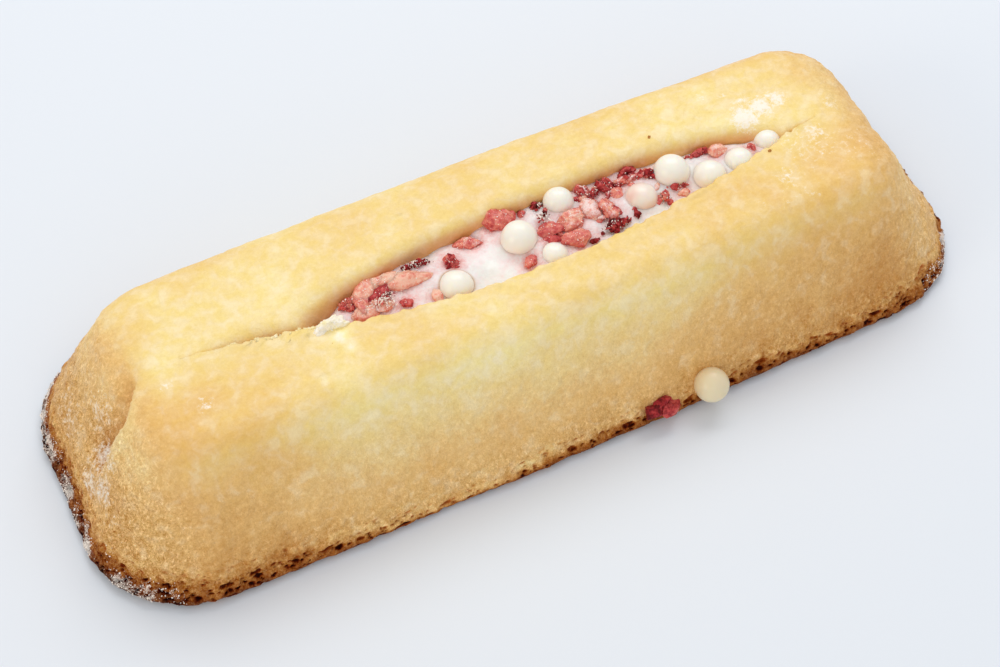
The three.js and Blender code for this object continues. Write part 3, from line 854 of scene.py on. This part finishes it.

# %% [markdown]
# ## Strawberry: places
# The pieces of dried strawberry were placed from the picture. They are listed before the cream because the
# cream is stained where they lie. Lumps are soft flesh, heaps are dark crumbled skin with grains of sugar.

# %% Strawberry places
# Lumps: along, across, long, wide, thick, turn in degrees, tone from salmon to dark, share of sugar
LUMPS = np.array([
    (-17.2, -0.4, 7.0, 2.8, 1.9, -12, 0.17, 0.10), (-19.4, 0.7, 4.6, 2.6, 2.0, -15, 0.19, 0.25),
    (-21.4, 1.2, 4.6, 2.8, 2.0, 5, 0.20, 0.36), (-23.6, 0.6, 4.4, 3.0, 1.9, 40, 0.26, 0.38),
    (-25.0, -1.2, 4.2, 3.0, 1.8, 75, 0.30, 0.38), (-25.3, -3.0, 3.8, 2.6, 1.6, -10, 0.26, 0.42),
    (-22.5, -2.9, 4.0, 2.2, 1.0, 0, 0.28, 0.50), (-21.4, -0.6, 4.6, 2.8, 1.2, 10, 0.68, 0.12),
    (-23.2, -1.7, 3.0, 2.2, 1.2, 30, 0.45, 0.50), (-26.9, -0.3, 2.4, 2.2, 1.8, 10, 0.60, 0.20),
    (-19.3, -4.3, 2.2, 1.7, 1.5, -20, 0.60, 0.10), (-14.2, -4.7, 1.6, 3.0, 0.9, -20, 0.12, 0.30),
    (-9.8, 0.0, 2.2, 2.8, 2.0, 20, 0.60, 0.40), (-5.7, 2.5, 4.0, 2.5, 1.8, -10, 0.42, 0.45),
    (0.0, 3.9, 4.7, 4.6, 3.4, 20, 0.46, 0.25), (6.1, -1.2, 4.2, 2.7, 2.0, -10, 0.50, 0.25),
    (10.1, -0.9, 4.8, 3.2, 2.1, 10, 0.30, 0.45), (9.2, -4.6, 5.2, 3.6, 2.2, -25, 0.42, 0.30),
    (5.4, -3.2, 3.4, 1.7, 1.3, -5, 0.60, 0.15), (13.8, -0.4, 3.1, 3.6, 2.2, 0, 0.28, 0.60),
    (16.3, -1.7, 2.9, 3.7, 2.4, 10, 0.38, 0.45), (18.0, 2.6, 3.2, 3.6, 2.6, 0, 0.66, 0.20),
    (14.5, 3.5, 2.4, 2.6, 2.0, 0, 0.46, 0.55), (19.1, 0.6, 2.2, 2.3, 1.7, 0, 0.40, 0.40),
    (22.5, 3.7, 3.1, 2.1, 2.0, 0, 0.70, 0.15), (21.8, 2.1, 4.6, 1.5, 1.3, -10, 0.46, 0.50),
    (25.1, 1.9, 2.0, 2.1, 1.7, 0, 0.44, 0.50), (28.6, -3.7, 1.9, 1.4, 1.0, 0, 0.28, 0.40),
    (37.5, 1.2, 2.8, 2.3, 1.8, 0, 0.18, 0.45), (42.6, -0.8, 1.2, 1.6, 1.2, 0, 0.48, 0.20),
    (1.1, -5.5, 2.4, 2.0, 1.5, 10, 0.46, 0.30)])
# Heaps: along, across, long, wide, tone, share of sugar grains, number of crumbs
HEAPS = np.array([
    (-26.8, -0.2, 2.8, 2.6, 0.50, 0.20, 110), (-21.3, -1.9, 2.6, 1.5, 0.82, 0.30, 70),
    (-14.6, 1.7, 4.8, 2.0, 0.92, 0.45, 170), (-22.6, -2.8, 4.2, 2.2, 0.35, 0.80, 190),
    (6.9, 4.1, 2.4, 1.5, 0.88, 0.20, 80), (6.4, 1.1, 2.8, 2.2, 0.86, 0.80, 110),
    (14.5, 3.5, 2.6, 2.6, 0.68, 0.25, 70), (15.7, 2.0, 2.1, 1.7, 0.80, 0.30, 60),
    (18.0, 2.6, 3.0, 3.2, 0.76, 0.15, 70), (22.5, 3.7, 3.2, 2.2, 0.80, 0.15, 90),
    (21.8, 2.2, 4.6, 1.4, 0.62, 0.25, 80), (25.3, 1.9, 2.4, 2.4, 0.78, 0.30, 80),
    (15.8, -4.9, 4.8, 2.1, 0.90, 0.26, 200), (11.6, -6.1, 1.1, 0.9, 0.95, 0.0, 20),
    (19.5, -4.8, 1.2, 0.9, 0.90, 0.10, 20), (34.4, 2.3, 4.6, 0.9, 0.70, 0.20, 90),
    (28.4, -2.4, 3.6, 1.2, 0.62, 0.15, 90), (25.4, -3.4, 2.1, 2.3, 0.50, 0.15, 70),
    (-9.8, 0.0, 2.2, 2.8, 0.70, 0.20, 50)])
# The chunk low on the front: along, across, height, long, wide, thick, turn, tone, share of sugar
FRONT_LUMPS = np.array([
    (12.2, -26.7, 3.2, 4.0, 2.4, 2.6, 15, 0.80, 0.0), (14.5, -27.2, 2.9, 3.8, 2.4, 2.4, 30, 0.58, 0.30),
    (13.5, -26.4, 4.2, 3.0, 1.8, 1.6, 20, 0.66, 0.0)])
print(len(LUMPS), "lumps,", int(HEAPS[:, 6].sum()), "crumbs")

# %% [markdown]
# ## Whipped cream: the finish
# Whipped cream is fat and air: white, softly glossy, and so full of small bubbles that light spreads a few
# millimetres in it. It is blushed pink where strawberry has stained it, and the juice runs unevenly, so the
# stain from the mesh is broken up by two noises. Where it meets a pearl, a thin line of shadow is painted in.

# %% Whipped cream finish
RUN_MM, GRIT_MM, RIPPLE_MM = 2.2, 0.4, 0.6

cream_finish, tree, shader = finish("whipped_cream", {
    "Roughness": 0.45, "Specular IOR Level": 0.4, "Subsurface Weight": 0.6, "Subsurface Scale": 0.0025,
    "Subsurface Radius": (1.0, 0.9, 0.85)})
place = add(tree, "TexCoord", out="Object")
stain, ring = [add(tree, "Attribute", {"attribute_name": name}, out="Fac") for name in ("stain", "ring")]
juice, grit, ripple = [
    add(tree, "TexNoise", values={"Scale": per_mm(size), "Detail": detail, "Roughness": blur},
        links={"Vector": place})
    for size, detail, blur in ((RUN_MM, 4.0, 0.6), (GRIT_MM, 2.0, 0.8), (RIPPLE_MM, 3.0, 0.7))]
juice = add(tree, "MapRange", {"span": (0.3, 0.7, -0.2, 0.3)}, links={"Value": juice})
pink = add(tree, "Math", PLUS, links={0: stain, 1: juice})
# Strawberry dust lies on the stained cream
grit = add(tree, "MapRange", {"span": (0.35, 0.65, -0.25, 0.25)}, links={"Value": grit})
pink = add(tree, "Math", TIMES_PLUS, links={0: grit, 1: stain, 2: pink})
blush = add(tree, "ValToRGB", {"stops": [
    (0.05, "#fbf6ef"), (0.3, "#fdebe8"), (0.65, "#fbd3cf"), (1.0, "#efa8a0")]}, links={"Fac": pink})
# Painted shadow: a golden-brown line of shade where the cream meets a pearl
gap_shadowed = add(tree, "Mix", COLOURS, {7: linear("#c79a5e")}, {0: ring, 6: blush}, out=2)
tree.links.new(shader.inputs["Base Color"], gap_shadowed)
ripple = add(tree, "Bump", values={"Distance": 0.00015}, links={"Height": ripple})
tree.links.new(shader.inputs["Normal"], ripple)
print(cream_finish.name, len(tree.nodes), "nodes")

# %% [markdown]
# ## Cream
# The cream fills the slit almost to its lips, lies lower along the back wall and wells up round the pearls.
# A sheet over the slit would leave it hollow, so it is a closed body: its section is an arch over a wedge,
# carried along the slit.

# %% Cream
CREAM_LEFT, CREAM_RIGHT, CREAM_LEVEL, CREAM_CROWN, CREAM_CLIMB = -31.5, 47.5, 21.7, 0.6, 0.3
CREAM_GAP, CREAM_LAP = 0.3, 0.25
WELLING, WELLING_WIDE, STAIN_EDGE = 0.35, 0.8, 1.4
# How strong and wide the painted shadow round the pearls is
LEFT_PEARLS, LEFT_GAP_SHADE, GAP_SHADE, GAP_SHADE_WIDE = -5, 0.75, 0.25, 0.3


def cream_top(x, across):
    """Height of the cream: its level, a crown across it, a climb at the front lip, a dip at the back wall
    and two waves along it."""
    waves = 0.22 * np.sin(x * 0.33 + 1) + 0.15 * np.sin(x * 0.8 + 3 * across)
    climb = CREAM_CLIMB * (step_up(-across, 0.5, 1.2) - step_up(across, 0.5, 1.0))
    return CREAM_LEVEL + CREAM_CROWN * (1 - across ** 2) + climb + waves


def cream_filling(sections, over, under):
    """Rows along the slit, columns round the section: over the arch from back to front, then under the
    wedge. The ends pinch to a point by the square root of a sine."""
    v = np.linspace(0, math.pi, sections)[:, None]
    x = CREAM_LEFT + (CREAM_RIGHT - CREAM_LEFT) * (1 - np.cos(v)) / 2
    pinch = np.minimum(1, 1.6 * np.sqrt(np.maximum(np.sin(v), 0)))
    across = np.concatenate([np.linspace(1, -1, over), np.linspace(-1, 1, under + 2)[1:-1]])[None]
    arch = np.arange(over + under)[None] < over
    middle, half, depth = slit_at(x)[:3]
    floor = HEIGHT - depth + CREAM_GAP
    edge = cream_top(x, np.sign(across))
    wedge = edge + np.minimum(1, (1 - np.abs(across)) / SLIT_TAPER) * (floor - edge)
    level = np.where(arch, cream_top(x, across), wedge)
    centre = (edge + floor) / 2
    y = middle + across * (half + CREAM_LAP) * pinch
    z = centre + (level - centre) * pinch
    return np.stack(np.broadcast_arrays(x, y, z), -1).copy(), arch * pinch


def whipped(points, soft):
    """The cream's top made uneven: soft waves, fine folds and a welling round each pearl."""
    rise = 0.3 * noise(points, 2.6, 31) + 0.12 * noise(points, 1.0, 32)
    for along, aside, _, radius in pearl_places:
        far = np.hypot(points[..., 0] - along, points[..., 1] - aside)
        rise += WELLING * np.exp(-((far - radius) / WELLING_WIDE) ** 2)
    raised = points.copy()
    raised[..., 2] += soft * rise
    return raised


def stained(points):
    """How pink the cream is: the strongest of soft spots round the strawberry lumps."""
    pink = np.zeros(points.shape[:-1])
    for along, aside, long, wide, _, _, tone, _ in LUMPS:
        far_x = (points[..., 0] - along) / (0.75 * long + STAIN_EDGE)
        far_y = (points[..., 1] - aside) / (0.75 * wide + STAIN_EDGE)
        pink = np.maximum(pink, (0.6 + 0.4 * tone) * np.exp(-np.hypot(far_x, far_y) ** 2))
    return pink


def pearl_gap_shadows(points):
    """Painted shadow at each pearl: 1 along its edge, strongest on the left one and faint on the others."""
    ring = np.zeros(points.shape[:-1])
    for along, aside, up, radius in pearl_places:
        edge = np.sqrt(np.maximum(0, radius ** 2 - (points[..., 2] - up) ** 2))
        far = np.hypot(points[..., 0] - along, points[..., 1] - aside) - edge
        strong = LEFT_GAP_SHADE if along < LEFT_PEARLS else GAP_SHADE
        ring = np.maximum(ring, strong * np.exp(-(far / GAP_SHADE_WIDE) ** 2))
    return ring


cream_grid = whipped(*cream_filling(sections=420, over=90, under=20))
cream_shell = shell(cream_grid[::-1], stain=stained(cream_grid)[::-1], ring=pearl_gap_shadows(cream_grid)[::-1])
hang("cream_filling", [cream_shell], cream_finish, ["cream"])

# %% [markdown]
# ## Dried strawberry: the finish
# Freeze-dried strawberry softens in the cream. Its flesh turns salmon to red, with a wet gloss and a little
# light in it, and its skin crumbles into bits so dark that they look burnt. One ramp of colours serves them
# all, and a mark called tone says where on it a piece lies.

# %% Dried strawberry finish
FLESH_MM, CRUMPLE_MM, FROST_MM = 1.0, 0.45, 0.9

strawberry_finish, tree, shader = finish("dried_strawberry", {
    "Roughness": 0.25, "Subsurface Weight": 0.35, "Subsurface Scale": 0.0007,
    "Subsurface Radius": (1.0, 0.6, 0.55)})
place = add(tree, "TexCoord", out="Object")
tone, sugar = [add(tree, "Attribute", {"attribute_name": name}, out="Fac") for name in ("tone", "sugar")]
flesh, crumple, frost = [
    add(tree, "TexNoise", values={"Scale": per_mm(size), "Detail": 3.0, "Roughness": 0.75},
        links={"Vector": place})
    for size in (FLESH_MM, CRUMPLE_MM, FROST_MM)]
# Wet flesh has a gloss, dry dark skin has none
gloss = add(tree, "MapRange", {"span": (0.3, 0.7, 0.45, 0.08)}, links={"Value": tone})
tree.links.new(shader.inputs["Specular IOR Level"], gloss)
# Thick flesh is deep red and thin edges are salmon, within one piece
shift = add(tree, "MapRange", {"span": (0.3, 0.7, -0.22, 0.22)}, links={"Value": flesh})
darker = add(tree, "Math", PLUS, links={0: tone, 1: shift})
fruit = add(tree, "ValToRGB", {"stops": [
    (0.0, "#f6c0a6"), (0.15, "#ee9c82"), (0.32, "#df7668"), (0.5, "#cb504d"), (0.68, "#a42f33"),
    (0.84, "#701d1e"), (1.0, "#43110f")]}, links={"Fac": darker})
# Sugar has dried on it as a pinkish frost
dusted = add(tree, "Math", TIMES, links={0: sugar, 1: frost})
dusted = add(tree, "MapRange", {"span": (0.24, 0.34, 0.0, 0.85)}, links={"Value": dusted})
colour = add(tree, "Mix", COLOURS, {7: linear("#fbe3de")}, {0: dusted, 6: fruit}, out=2)
tree.links.new(shader.inputs["Base Color"], colour)
crumple = add(tree, "Bump", values={"Strength": 0.7, "Distance": 0.0002}, links={"Height": crumple})
tree.links.new(shader.inputs["Normal"], crumple)
print(strawberry_finish.name, len(tree.nodes), "nodes")

# %% [markdown]
# ## Strawberry flesh
# Each lump is its own torn ball, sunk half into the cream. Pale lumps are soft and smooth, red ones knobbly.
# Small rubble lies between them, drawn at random where the picture shows most of it. The chunk on the front
# is three lumps with flat breaks.

# %% Strawberry flesh
RUBBLE = 34
PALE_TONE = 0.3
SMOOTH_LUMP = dict(least=0.9, knobbly=0.04, rugged=0.08)
BROKEN_LUMP = dict(least=0.62, knobbly=0.0, rugged=0.07)
FROST_PER_MM2 = 9


def on_cream(x, y):
    """Height of the cream's top at places along and across the cake."""
    middle, half = slit_at(x)[:2]
    return cream_top(x, np.clip((y - middle) / np.maximum(half, 0.1), -1, 1))


draw = np.random.default_rng(150)
rubble = np.stack([
    *draw.uniform((4, -5), (27, 4.5), (RUBBLE, 2)).T,
    *draw.uniform((0.9, 0.7, 0.6), (2.2, 1.6, 1.2), (RUBBLE, 3)).T,
    draw.uniform(-90, 90, RUBBLE), draw.uniform(0.2, 0.75, RUBBLE), draw.uniform(0.1, 0.6, RUBBLE)], -1)
lump_shells, frost_places = [], []
all_lumps = np.concatenate([LUMPS, rubble])
for number, (along, aside, long, wide, thick, turn, tone, dusted) in enumerate(all_lumps):
    middle = (along, aside, float(on_cream(np.array(along), aside)) + 0.05 * thick)
    fine = dict(rows=36, columns=52) if number < len(LUMPS) else dict(rows=16, columns=24)
    if tone < PALE_TONE:
        fine.update(SMOOTH_LUMP)
    grid, knobs = lump(middle, (long, wide, thick), turn, 100 + number, **fine)
    up = np.clip((grid[..., 2] - middle[2]) / thick, -0.5, 0.5)
    # Painted light and shade: paler where a lump stands out, darker red in its hollows, and darker underneath
    red = tone - 0.03 - 0.12 * knobs - 0.1 * up
    lump_shells.append(shell(grid, tone=red, sugar=dusted * (0.8 + 0.6 * up)))
    tops = np.argwhere(up > 0.1)
    draw = np.random.default_rng(160 + number)
    chosen = tops[draw.integers(len(tops), size=int(FROST_PER_MM2 * dusted * long * wide))]
    frost_places.append(grid[chosen[:, 0], chosen[:, 1]])
hang("strawberry_flesh", lump_shells, strawberry_finish, ["cream"])

front_shells = []
for number, row in enumerate(FRONT_LUMPS):
    grid = lump(row[:3], row[3:6], row[6], 140 + number, **BROKEN_LUMP)[0]
    front_shells.append(shell(grid, tone=row[7] + 0.1 * noise(grid, 1.1, 143), sugar=row[8]))
hang("front_strawberry", front_shells, strawberry_finish, ["sponge"])

# %% [markdown]
# ## Crumbled skin and sugar
# Crumbled skin lies in loose heaps with sugar between the bits, and finer sugar has stuck to the flesh and
# the cream. Icing sugar is dull and white. Painted on, it would lie flat, so its larger grains are real
# grains, in a piece of their own because their finish differs from the fruit's.

# %% Crumbled skin and sugar on the fruit
DUST = 2200

sugar_finish = finish("icing_sugar", {"Base Color": linear("#fff4e8"), "Roughness": 0.6})[0]


def heap(row, seed):
    """Places, sizes, tones and sugar of a heap's crumbs: spread by a normal draw, higher in the middle."""
    along, aside, long, wide, tone, dusted = row[:6]
    count = int(row[6])
    draw = np.random.default_rng(seed)
    spread = np.clip(draw.normal(size=(count, 2)) * 0.42, -1, 1)
    x, y = along + spread[:, 0] * long / 2, aside + spread[:, 1] * wide / 2
    steep = np.exp(-2 * np.sum(spread ** 2, axis=1)) * min(long, wide) / 2
    z = on_cream(x, y) + 0.3 + 0.9 * draw.random(count) * steep
    sweet = draw.random(count) < dusted
    sizes = np.where(sweet, 0.12 + 0.18 * draw.random(count), 0.25 + 1.1 * draw.random(count) ** 3)
    return np.stack([x, y, z + 0.2 * sweet], -1), sizes, tone + draw.uniform(-0.22, 0.06, count), sweet


skin_shells, sweet_shells = [], []
for number, row in enumerate(HEAPS):
    places, sizes, tones, sweet = heap(row, 200 + number)
    skin = dict(tone=tones[~sweet] - 0.05, sugar=0.3)
    skin_shells.append(grains(places[~sweet], sizes[~sweet], 300 + number, flat=0.2, **skin))
    sweet_shells.append(grains(places[sweet], sizes[sweet], 350 + number))
draw = np.random.default_rng(380)
near = LUMPS[draw.integers(len(LUMPS), size=DUST)]
dust_xy = near[:, :2] + draw.normal(size=(DUST, 2)) * (0.35 * near[:, 2:4] + 0.5)
middle, half = slit_at(dust_xy[:, 0])[:2]
dust_xy = dust_xy[np.abs(dust_xy[:, 1] - middle) < half - 0.2]
frost_places.append(np.column_stack([dust_xy, on_cream(dust_xy[:, 0], dust_xy[:, 1]) + 0.15]))
frost_places = np.concatenate(frost_places)
frost_sizes = 0.08 + 0.14 * np.random.default_rng(390).random(len(frost_places)) ** 2
sweet_shells.append(grains(frost_places, frost_sizes, 391))
hang("strawberry_skin", skin_shells, strawberry_finish, ["cream"], smooth=False)
hang("strawberry_sugar", sweet_shells, sugar_finish, ["cream"], smooth=False)

# %% [markdown]
# ## Sugar on the crust
# Sugar that slid down the ends stayed on the rough crust in clumps. The grains are set on points of the
# crust's own grid, so that none of them floats.

# %% Sugar on the crust
CLUMPS, GRAINS_EACH, CLUMP_WIDE = 340, 9, 2.5


def dusting(grid, marks, clumps, each, wide, seed):
    """Places on a grid for clumps of sugar grains, drawn in proportion to the sugar mark and a few points
    wide."""
    draw = np.random.default_rng(seed)
    chance = np.clip(marks, 0, 1).reshape(-1) ** 1.5
    chosen = np.repeat(draw.choice(len(chance), size=clumps, p=chance / chance.sum()), each)
    row, column = np.divmod(chosen, marks.shape[1])
    row = np.clip(row + np.rint(draw.normal(size=len(row)) * wide).astype(int), 0, len(marks) - 1)
    column = (column + np.rint(draw.normal(size=len(row)) * wide).astype(int)) % marks.shape[1]
    return grid[row, column] + draw.normal(size=(len(row), 3)) * 0.05


dust_places = dusting(crust_grid, crust_marks["sugar"], CLUMPS, GRAINS_EACH, CLUMP_WIDE, 401)
dust_sizes = 0.1 + 0.2 * np.random.default_rng(402).random(len(dust_places)) ** 2
dust_places[:, 2] = np.maximum(dust_places[:, 2], 0.1)
hang("sponge_sugar", [grains(dust_places, dust_sizes, 404)], sugar_finish, ["sponge"], smooth=False)

# %% [markdown]
# ## Floor and light
# The cake lies on a plain pale floor in soft, bright light that comes from behind and above. One bright lamp
# would leave the front dark, so the world gives even light from all round, a weaker lamp opens the front,
# and a narrow warm beam reaches the left end.

# %% Floor and light
FLOOR_HALF = 3
WORLD_STRENGTH = 0.68

floor_mesh = bpy.data.meshes.new("floor")
floor_corners = [(x * FLOOR_HALF, y * FLOOR_HALF, 0) for x, y in ((-1, -1), (1, -1), (1, 1), (-1, 1))]
floor_mesh.from_pydata(floor_corners, [], [(0, 1, 2, 3)])
floor = bpy.data.objects.new("floor", floor_mesh)
bpy.context.scene.collection.objects.link(floor)
floor_finish = finish("pale_floor", {"Base Color": linear("#e4e9ef"), "Roughness": 0.6})[0]
floor_mesh.materials.append(floor_finish)

world = bpy.data.worlds.new("studio")
bpy.context.scene.world = world
world.use_nodes = True
background = world.node_tree.nodes["Background"]
background.inputs["Color"].default_value = linear("#f8fafe")
background.inputs["Strength"].default_value = WORLD_STRENGTH


def soft_box(name, place, wide, high, watts, colour, spread=180):
    """An oblong area light that looks at the middle of the cake."""
    lamp = bpy.data.lights.new(name, "AREA")
    lamp.shape = "RECTANGLE"
    lamp.size, lamp.size_y = wide, high
    lamp.energy = watts
    lamp.color = linear(colour)[:3]
    lamp.spread = math.radians(spread)
    box = bpy.data.objects.new(name, lamp)
    box.location = place
    box.rotation_euler = (-Vector(place)).to_track_quat("-Z", "Y").to_euler()
    bpy.context.scene.collection.objects.link(box)


soft_box("key", (0.28, 0.50, 0.78), 0.9, 0.4, 4.2, "#ffffff")
soft_box("front fill", (-0.35, -0.90, 0.28), 0.9, 0.6, 1.05, "#f6f8fb")
soft_box("left fill", (-0.95, -0.15, 0.48), 0.5, 0.4, 0.38, "#fff0d6", 80)
bpy.context.scene.view_settings.view_transform = "Standard"
print(len(bpy.data.lights), "lamps set")
